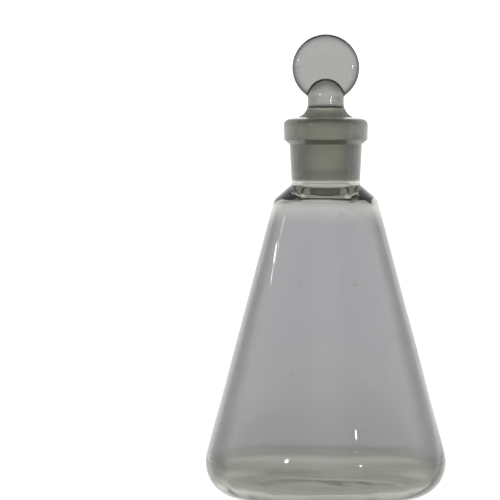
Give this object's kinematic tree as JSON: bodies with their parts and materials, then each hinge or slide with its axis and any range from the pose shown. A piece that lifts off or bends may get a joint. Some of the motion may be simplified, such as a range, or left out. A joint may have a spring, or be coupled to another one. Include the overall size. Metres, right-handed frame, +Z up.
{
  "type": "stoppered conical flask",
  "caption": "Conical clear-glass laboratory flask with a short thick-collared neck, a ground-glass socket and a lift-out penny-head stopper.",
  "frame": {"origin": "on the flask's axis, in the plane of the ring it stands on", "axes": "+Z up along the flask's axis; the flat faces of the penny head look along -Y and +Y"},
  "size_m": [0.1052, 0.1052, 0.2017],
  "materials": {
    "flask_glass": "clear blown glass, finely ground inside the neck",
    "stopper_glass": "clear pressed glass, finely ground on the plug"
  },
  "bodies": {
    "flask": {"flask": "flask_glass"},
    "stopper": {"stopper": "stopper_glass"}
  },
  "joints": [
    {"name": "stopper_lift", "type": "slide", "parent": "flask", "child": "stopper", "axis": [0, 0, 1], "range_m": [0, 0.04]}
  ]
}
